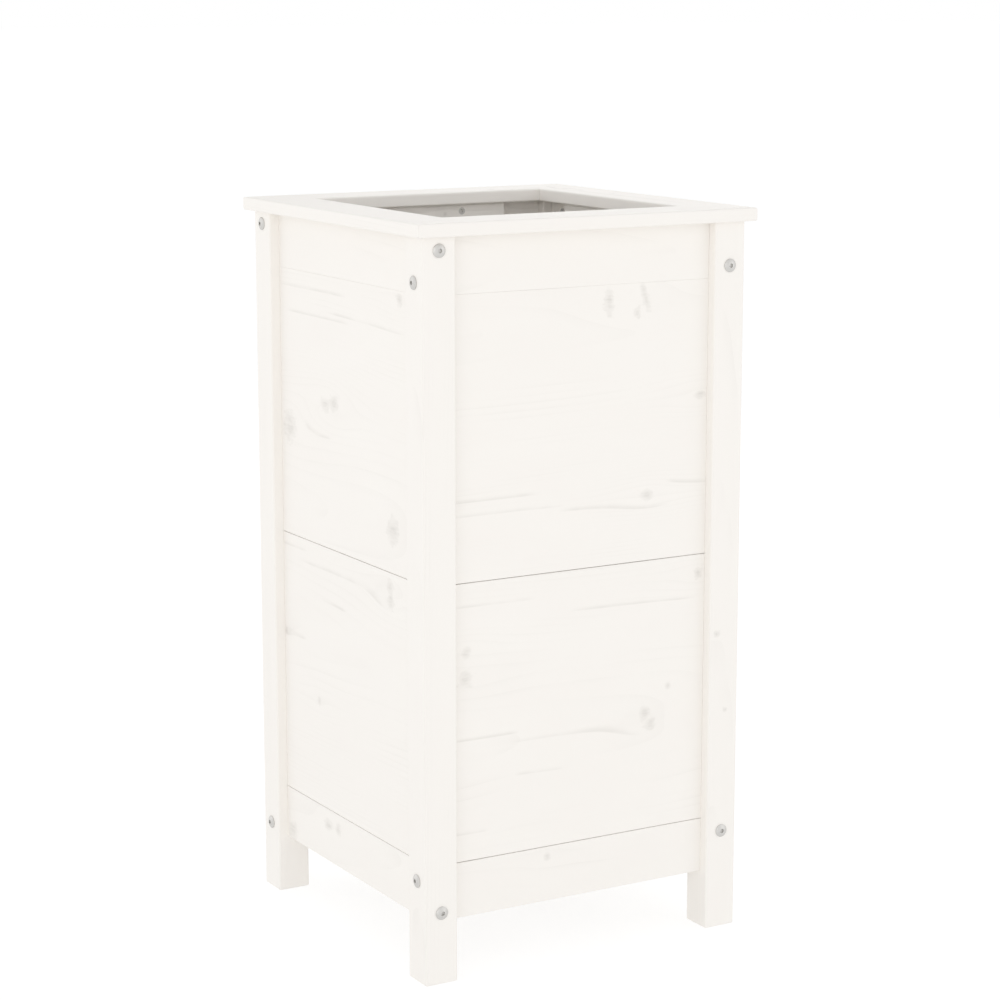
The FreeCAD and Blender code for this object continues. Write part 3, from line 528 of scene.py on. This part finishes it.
for name, base, top, low, high, tongue in SIDE_PIECES:
    sizes = {"size": (BETWEEN_POSTS, top - base, 14), "low": (0.2, low, SOFT), "high": (0.2, high, SOFT),
             "tongue": tongue}
    for side_name, angle in SIDES.items():
        node = f"{name}_{side_name}"
        place = turn_of(angle) @ at(0, -SIDE_MIDDLE, (base + top) / 2, UPRIGHT)
        cutter = None
        if name in NUT_HEIGHTS:
            left, right = NUT_HEIGHTS[name]
            bores = [((-NUT_ACROSS, INSIDE_FACE, left), OUTWARD, *NUT_BORE),
                     ((NUT_ACROSS, INSIDE_FACE, right), OUTWARD, *NUT_BORE)]
            cutter = hole_cutter(bores, turn_of(angle))
        wooden_piece(node, sizes, place, cutter)
        if cutter:
            remove_cutter(cutter)
print("wooden pieces so far:", len(wood_pieces))

# %% [markdown]
# ## Rim
# Four flat boards lie on the posts and meet in mitres at the corners. The mitre input of the tree shortens
# the inner edge of the board and lengthens the outer one, which gives both ends their 45 degrees.

# %% Rim boards
RIM = {"size": (341, 59, 14), "low": (0.02, 2, 2), "high": (0.02, 2, 2), "mitre": 1.0,
       "wave": 0.05}
RIM_MIDDLE = 170.5
RIM_HEIGHT = 773.0
for side_name, angle in SIDES.items():
    node = f"rim_board_{side_name}"
    place = turn_of(angle) @ at(0, -RIM_MIDDLE, RIM_HEIGHT)
    wooden_piece(node, RIM, place)
print("wooden pieces with the rim:", len(wood_pieces))

# %% [markdown]
# ## Cleats and floor
# Inside, short square cleats are screwed to the top rails to hold the rim, and two longer ones at the
# bottom carry a floor of four slats. The gaps between the slats let water out.

# %% Cleats
CLEAT_MIDDLE = 157.5
CLEAT_FACE = -149.5
CLEAT_ROUND = (0.6, 0.6, 0.6)
RIM_CLEAT = {"size": (200, 16, 16), "low": CLEAT_ROUND, "high": CLEAT_ROUND, "wave": 0.1}
FLOOR_CLEAT = {"size": (305, 16, 16), "low": CLEAT_ROUND, "high": CLEAT_ROUND, "wave": 0.1}
RIM_CLEAT_HEIGHT = 758.0
RIM_CLEAT_BASE = 750.0
FLOOR_CLEAT_HEIGHT = 92.5
CLEAT_SCREWS = (-45, 45)
RIM_SCREWS = (-75, 75)
UP = (0, 0, 1)
DOWN = (0, 0, -1)
SLAT_SEAMS = (-84, 0, 84)
# A countersink: its radius at the face, its radius at the bottom, and its depth.
HEAD = (4.1, 2.1, 2.0)
for side_name, angle in SIDES.items():
    node = f"rim_cleat_{side_name}"
    holes = [((x, CLEAT_FACE, RIM_CLEAT_HEIGHT), OUTWARD, *HEAD) for x in CLEAT_SCREWS]
    holes += [((x, -CLEAT_MIDDLE, RIM_CLEAT_BASE), UP, *HEAD) for x in RIM_SCREWS]
    cutter = hole_cutter(holes, turn_of(angle))
    place = turn_of(angle) @ at(0, -CLEAT_MIDDLE, RIM_CLEAT_HEIGHT, UPRIGHT)
    wooden_piece(node, RIM_CLEAT, place, cutter)
    remove_cutter(cutter)
for side_name in ("front", "back"):
    node = f"floor_cleat_{side_name}"
    turn = turn_of(SIDES[side_name])
    holes = [((x, CLEAT_FACE, FLOOR_CLEAT_HEIGHT), OUTWARD, *HEAD) for x in SLAT_SEAMS]
    cutter = hole_cutter(holes, turn)
    place = turn @ at(0, -CLEAT_MIDDLE, FLOOR_CLEAT_HEIGHT, UPRIGHT)
    wooden_piece(node, FLOOR_CLEAT, place, cutter)
    remove_cutter(cutter)
print("wooden pieces with the cleats:", len(wood_pieces))

# %% Floor slats
SLAT = {"size": (328, 76, 14), "low": (1, 1, 1), "high": (1, 1, 1), "wave": 0.2}
SLAT_PLACES = {"left": -126, "mid_left": -42, "mid_right": 42, "right": 126}
SLAT_HEIGHT = 107.5
SLAT_TOP = 114.5
NOTCH = 152.5
NOTCH_BLOCK = 40.0


def cut_notches(cutter, side_sign):
    """Adds two square blocks to a cutter, where an outer slat goes round the posts."""
    shape = bmesh.new()
    shape.from_mesh(cutter.data)
    for end in (-1, 1):
        out = NOTCH + NOTCH_BLOCK / 2
        middle = Vector((side_sign * out, end * out, SLAT_HEIGHT)) * MM
        bmesh.ops.create_cube(shape, size=NOTCH_BLOCK * MM, matrix=Matrix.Translation(middle))
    shape.to_mesh(cutter.data)
    shape.free()


for name, x in SLAT_PLACES.items():
    node = f"floor_slat_{name}"
    holes = [((x, y, SLAT_TOP), DOWN, *HEAD) for y in (-CLEAT_MIDDLE, CLEAT_MIDDLE)]
    cutter = hole_cutter(holes, Matrix())
    if name in ("left", "right"):
        cut_notches(cutter, math.copysign(1, x))
    place = at(x, 0, SLAT_HEIGHT, turn_of(90))
    wooden_piece(node, SLAT, place, cutter)
    remove_cutter(cutter)
print("wooden pieces:", len(wood_pieces), "triangles:",
      sum(len(face.vertices) - 2 for piece in wood_pieces for face in piece.data.polygons))

# %% [markdown]
# ## Zinc-plated steel
# Bolts and screws are turned or rolled steel with a thin, barrel-plated layer of zinc. Barrel plating
# leaves a dull grey with small brighter and darker spots, and the turned heads keep fine rings round their
# axis. The bolts carry their own distance from the axis as an attribute, so the rings stay centred on each
# head.

# %% Zinc
def zinc_finish(name, rings_from):
    """Dull zinc plate. The fine rings follow an attribute of that name, if one is given."""
    material = bpy.data.materials.new(name)
    material.use_nodes = True
    plate = material.node_tree
    plate.nodes.clear()
    place = wire(plate, "ShaderNodeTexCoord", out="Object")
    # Plating spots are about 1 mm wide.
    spots = wire(plate, "ShaderNodeTexNoise", {"Vector": place, "Scale": 1000.0, "Detail": 2.0})
    mixed = wire(plate, "ShaderNodeMix", {0: spots, 6: linear("C6C5C2"), 7: linear("D8D6D3")}, out=2,
                 data_type="RGBA")
    dull = wire(plate, RANGE, {0: spots, 1: 0.3, 2: 0.7, 3: 0.42, 4: 0.56})
    height = spots
    if rings_from:
        axis = wire(plate, "ShaderNodeAttribute", attribute_name=rings_from, out="Fac")
        # Turning marks are about 0.1 mm apart. They are drawn 0.6 mm apart, the finest that shows here.
        turn = wire(plate, MATH, {0: axis, 1: 2 * math.pi / 0.6}, operation="MULTIPLY")
        marks = wire(plate, MATH, {0: turn}, operation="SINE")
        height = wire(plate, MATH, {0: marks, 1: 0.25, 2: spots}, operation="MULTIPLY_ADD")
    rough = wire(plate, "ShaderNodeBump", {"Height": height, "Strength": 0.35, "Distance": 0.05 * MM})
    metal = wire(plate, "ShaderNodeBsdfPrincipled",
                 {"Base Color": mixed, "Metallic": 1.0, "Roughness": dull, "Normal": rough})
    wire(plate, "ShaderNodeOutputMaterial", {"Surface": metal})
    return material


turned_zinc = zinc_finish("turned_zinc_plated_steel", "axis_distance")
plain_zinc = zinc_finish("zinc_plated_steel", None)
print("zinc nodes:", len(turned_zinc.node_tree.nodes))

# %% [markdown]
# ## Bolts and screws
# A fastener is a stack of rings. Going from the bottom of its socket over the head and down the shank, each
# ring has a height and a radius for every angle, so a hexagon, a cross and a circle can follow each other
# in one closed skin. The tree then sets one such mesh on points, turned to the direction each point aims,
# and spins each by a random angle, because no fitter lines up the sockets.

# %% Turning a fastener
RING_POINTS = 48


def hexagon(width):
    """Radius of a hexagon, given across its flats, at an angle."""
    return lambda angle: width / 2 / math.cos(angle % (math.pi / 3) - math.pi / 6)


def cross(reach, width):
    """Radius of an upright cross with arms of that reach and width, at an angle."""
    def radius(angle):
        c, s = abs(math.cos(angle)) + 1e-9, abs(math.sin(angle)) + 1e-9
        return max(min(reach / c, width / 2 / s), min(reach / s, width / 2 / c))
    return radius


def turned_mesh(name, rings):
    """A closed mesh from (height, radius) rings in mm. A radius is a number or a rule for an angle."""
    shape = bmesh.new()
    loops = []
    for height, radius in rings:
        loop = []
        for number in range(RING_POINTS):
            angle = 2 * math.pi * number / RING_POINTS
            out = radius(angle) if callable(radius) else radius
            spot = Vector((out * math.cos(angle), out * math.sin(angle), height))
            loop.append(shape.verts.new(spot * MM))
        loops.append(loop)
    for upper_loop, lower_loop in zip(loops, loops[1:]):
        for number in range(RING_POINTS):
            after = (number + 1) % RING_POINTS
            shape.faces.new((upper_loop[number], lower_loop[number], lower_loop[after], upper_loop[after]))
    for loop in (loops[0], loops[-1]):
        height = loop[0].co.z
        centre = shape.verts.new((0, 0, height))
        for number in range(RING_POINTS):
            shape.faces.new((centre, loop[number], loop[(number + 1) % RING_POINTS]))
    bmesh.ops.recalc_face_normals(shape, faces=shape.faces)
    mesh = bpy.data.meshes.new(name)
    shape.to_mesh(mesh)
    shape.free()
    write_attribute(mesh, "axis_distance", "FLOAT",
                    [vertex.co.xy.length / MM for vertex in mesh.vertices])
    return mesh


# %% Bolt and screw profiles
HEAD_RADIUS = 7.0
HEAD_HEIGHT = 3.0
HEAD_EDGE = 0.8
SOCKET = 4.0
rise = HEAD_HEIGHT - HEAD_EDGE
dome_radius = (rise ** 2 + HEAD_RADIUS ** 2) / (2 * rise)


def dome(radius):
    """Height of the domed head at a radius."""
    return HEAD_HEIGHT - dome_radius + math.sqrt(dome_radius ** 2 - radius ** 2)


bolt_rings = [(0.8, hexagon(SOCKET * 0.97)), (dome(2.3) - 0.25, hexagon(SOCKET)),
              (dome(2.4), hexagon(SOCKET + 0.4))]
bolt_rings += [(dome(radius), radius) for radius in (2.9, 3.6, 4.4, 5.2, 5.9, 6.5, 6.8)]
bolt_rings += [(HEAD_EDGE + 0.02, 6.96), (HEAD_EDGE - 0.2, HEAD_RADIUS), (0.15, HEAD_RADIUS), (0.0, 6.85),
               (0.0, 3.3), (-0.3, 3.0), (-69.0, 3.0), (-70.0, 2.0)]


def screw_rings(length):
    """A countersunk wood screw with a cross recess, its head flush at height 0."""
    return [(-1.2, cross(1.5, 0.9)), (-0.1, cross(2.2, 1.2)), (-0.02, cross(2.35, 1.4)), (-0.02, 3.0),
            (-0.05, 3.85), (-0.2, 4.0), (-2.0, 2.05), (-2.6, 2.0), (4.0 - length, 2.0), (-length, 0.3)]


CLEAT_SCREW_LENGTH = 25.0
FLOOR_SCREW_LENGTH = 23.0
bolt_mesh = turned_mesh("connector_bolt", bolt_rings)
cleat_screw_mesh = turned_mesh("cleat_screw", screw_rings(CLEAT_SCREW_LENGTH))
floor_screw_mesh = turned_mesh("floor_screw", screw_rings(FLOOR_SCREW_LENGTH))
print("bolt faces:", len(bolt_mesh.polygons), "screw faces:", len(cleat_screw_mesh.polygons))

# %% The fastener tree
tree, given, result = new_tree("set_fasteners", {"Fastener": "Object", "Seed": "Int", "Material": "Material"})
model = wire(tree, "GeometryNodeObjectInfo", {"Object": given["Fastener"]}, out="Geometry")
aim = wire(tree, "GeometryNodeInputNamedAttribute", {"Name": "aim"}, data_type="FLOAT_VECTOR")
turn = wire(tree, "FunctionNodeRandomValue", {"Seed": given["Seed"], 2: 0.0, 3: 2 * math.pi}, out=1,
            data_type="FLOAT")
spin = wire(tree, "FunctionNodeEulerToRotation", {0: wire(tree, "ShaderNodeCombineXYZ", {2: turn})})
facing = wire(tree, "FunctionNodeAlignRotationToVector", {"Rotation": spin, "Vector": aim}, axis="Z")
copies = wire(tree, "GeometryNodeInstanceOnPoints",
              {"Points": given["Geometry"], "Instance": model, "Rotation": facing})
copies = wire(tree, "GeometryNodeRealizeInstances", {"Geometry": copies})
copies = wire(tree, "GeometryNodeSetMaterial", {"Geometry": copies, "Material": given["Material"]})
tree.links.new(copies, result)
fastener_tree = tree
print("fastener tree has", len(fastener_tree.nodes), "nodes")

# %% Setting the fasteners
def set_fasteners(node, mesh, spots, angles, seed):
    """Sets a fastener on the front side's spots, each a place in mm and an aim, turned to other sides."""
    places = [turn_of(angle) @ Vector(place) * MM for angle in angles for place, _ in spots]
    aims = [share for angle in angles for _, aim in spots for share in turn_of(angle) @ Vector(aim)]
    points = bpy.data.meshes.new(node)
    points.from_pydata(places, [], [])
    write_attribute(points, "aim", "FLOAT_VECTOR", aims)
    pattern = new_object("pattern", mesh)
    made = new_object(f"{node}_zinc", points)
    run_tree(made, fastener_tree, {"Fastener": pattern, "Seed": seed, "Material": turned_zinc})
    bpy.data.objects.remove(pattern)
    made.data.shade_smooth()
    made.data.set_sharp_from_angle(angle=math.radians(35))
    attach(made, "root")
    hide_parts(node)
    print(node, len(places), "pieces,", len(made.data.polygons), "faces")


ALL_SIDES = tuple(SIDES.values())
FRONT_AND_BACK = (SIDES["front"], SIDES["back"])
INWARD = (0, 1, 0)
POST_FACE = -191.0
BOLT_PLACES = [(-SIDE_MIDDLE, LOW_OUTER), (-SIDE_MIDDLE, HIGH_OUTER), (SIDE_MIDDLE, LOW_INNER),
               (SIDE_MIDDLE, HIGH_INNER)]
set_fasteners("connector_bolts", bolt_mesh,
              [((x, POST_FACE, z), OUTWARD) for x, z in BOLT_PLACES], ALL_SIDES, 3)
set_fasteners("rim_cleat_screws", cleat_screw_mesh,
              [((x, CLEAT_FACE, RIM_CLEAT_HEIGHT), INWARD) for x in CLEAT_SCREWS], ALL_SIDES, 5)
set_fasteners("rim_screws", cleat_screw_mesh,
              [((x, -CLEAT_MIDDLE, RIM_CLEAT_BASE), DOWN) for x in RIM_SCREWS], ALL_SIDES, 7)
set_fasteners("floor_cleat_screws", cleat_screw_mesh,
              [((x, CLEAT_FACE, FLOOR_CLEAT_HEIGHT), INWARD) for x in SLAT_SEAMS], FRONT_AND_BACK, 9)
set_fasteners("floor_screws", floor_screw_mesh,
              [((x, -CLEAT_MIDDLE, SLAT_TOP), UP) for x in SLAT_PLACES.values()], FRONT_AND_BACK, 11)

# %% [markdown]
# ## Hidden joinery
# The barrel nuts, dowels and splines keep their CAD shapes. The nuts show at the bottom of their bores and
# are plated like the screws. Dowels and splines are bare beech, hidden in their holes.

# %% Bare beech, and the nodes that stay
beech = bpy.data.materials.new("bare_beech")
beech.use_nodes = True
tree = beech.node_tree
tree.nodes.clear()
place = wire(tree, "ShaderNodeTexCoord", out="Object")
# Beech shows short dark flecks, about 0.5 mm wide and 3 mm long.
fleck = wire(tree, "ShaderNodeTexNoise", {"Vector": wire(tree, VECTOR_MATH, {0: place, 1: (330, 330, 2000)},
                                                        operation="MULTIPLY"), "Scale": 1.0, "Detail": 2.0})
colour = wire(tree, "ShaderNodeMix", {0: fleck, 6: linear("C9A67C"), 7: linear("E0C39D")}, out=2,
              data_type="RGBA")
relief = wire(tree, "ShaderNodeBump", {"Height": fleck, "Strength": 0.4, "Distance": 0.1 * MM})
surface = wire(tree, "ShaderNodeBsdfPrincipled", {"Base Color": colour, "Roughness": 0.62, "Normal": relief})
wire(tree, "ShaderNodeOutputMaterial", {"Surface": surface})
for node, material in (("barrel_nuts", plain_zinc), ("rail_dowels", beech), ("mitre_splines", beech)):
    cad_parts[node].material_slots[0].material = material
print("CAD nodes that stay: barrel_nuts, rail_dowels, mitre_splines")

# %% [markdown]
# ## Floor
# The floor is a plain white table that is lit a little from below, as product photographers use to keep the
# underside of a thing from going dark. A good half of its light is its own and the rest is what falls on
# it, so the planter still has a soft shadow, and where nothing shades it, it gives back no more light than
# white paper. That would render light grey, so for the camera and for reflections its own share is raised
# until the sum is white.

# %% Floor
FLOOR_HALF = 60.0
bed = bmesh.new()
bmesh.ops.create_grid(bed, x_segments=1, y_segments=1, size=FLOOR_HALF)
floor_mesh = bpy.data.meshes.new("floor")
bed.to_mesh(floor_mesh)
bed.free()
floor = new_object("floor", floor_mesh)
white = bpy.data.materials.new("white_floor")
white.use_nodes = True
tree = white.node_tree
tree.nodes.clear()


def seen_directly(node_tree):
    """1 for rays from the camera, and for reflections and refractions, else 0."""
    rays = wire(node_tree, "ShaderNodeLightPath").node.outputs
    seen = wire(node_tree, MATH, {0: rays["Is Camera Ray"], 1: rays["Is Glossy Ray"]}, operation="MAXIMUM")
    return wire(node_tree, MATH, {0: seen, 1: rays["Is Transmission Ray"]}, operation="MAXIMUM")


own_light = wire(tree, RANGE, {0: seen_directly(tree), 1: 0.0, 2: 1.0, 3: 0.545, 4: 0.68})
glow = wire(tree, "ShaderNodeEmission", {"Strength": own_light})
lit = wire(tree, "ShaderNodeBsdfDiffuse", {"Color": (0.4, 0.4, 0.4, 1)})
wire(tree, "ShaderNodeOutputMaterial", {"Surface": wire(tree, "ShaderNodeAddShader", {0: glow, 1: lit})})
floor.data.materials.append(white)
print("floor:", 2 * FLOOR_HALF, "m wide")

# %% [markdown]
# ## Light
# The photograph is lit very evenly: both sides are almost the same white, the edges of the posts hardly
# show, and the top of the rim is a little darker. A pale surrounding gives most of the light. Four weak,
# large lamps stand round the planter at the height of its rim, the strongest at the front left. Each side
# is lit by two of them from opposite slants, so that no corner of a recess is left in the shade, and an
# edge between two sides gets no more light than the sides do.

# %% World and lamps
SURROUND = 0.825
world = bpy.data.worlds.new("pale_studio")
bpy.context.scene.world = world
world.use_nodes = True
tree = world.node_tree
tree.nodes.clear()
strength = wire(tree, RANGE, {0: seen_directly(tree), 1: 0.0, 2: 1.0, 3: SURROUND, 4: 1.0})
sky = wire(tree, "ShaderNodeBackground", {"Color": (1, 1, 1, 1), "Strength": strength})
wire(tree, "ShaderNodeOutputWorld", {"Surface": sky})


def soft_lamp(name, place, aim, width, power):
    """A square lamp of that width in metres and power in watts, aimed at a point."""
    data = bpy.data.lights.new(name, "AREA")
    data.size = width
    data.energy = power
    lamp = bpy.data.objects.new(name, data)
    lamp.location = place
    lamp.rotation_euler = (Vector(aim) - Vector(place)).to_track_quat("-Z", "Y").to_euler()
    bpy.context.scene.collection.objects.link(lamp)


MIDDLE = (0.0, 0.0, 0.4)
LAMP_OUT = 2.45
LAMP_HEIGHT = 0.9
LAMP_WIDTH = 2.6
LAMPS = {"front_left": (-1, -1, 18.0), "front_right": (1, -1, 11.5), "back_right": (1, 1, 15.2),
         "back_left": (-1, 1, 10.5)}
for name, (x, y, power) in LAMPS.items():
    soft_lamp(name, (x * LAMP_OUT, y * LAMP_OUT, LAMP_HEIGHT), MIDDLE, LAMP_WIDTH, power)
print("lamps:", len(bpy.data.lights))

# %% [markdown]
# ## Camera
# The photograph is taken from a little above the rim, with a long lens, turned about 30 degrees to the left
# side. The place, turn and lens come from fitting the planter's known corners and bolts to the photograph.
# The lens isn't shifted, so that the planter stays in the middle when it is looked at from elsewhere.

# %% Camera
data = bpy.data.cameras.new("camera")
data.sensor_width = 36.0
data.lens = 96.4
camera = bpy.data.objects.new("camera", data)
LOOK_DOWN = 0.1894
LOOK_RIGHT = 0.5272
camera.location = (-1.4313, -2.4713, 1.0048)
camera.rotation_euler = (math.radians(90) - LOOK_DOWN, 0.0, -LOOK_RIGHT)
bpy.context.scene.collection.objects.link(camera)
bpy.context.scene.camera = camera
bpy.context.scene.view_settings.view_transform = "Standard"
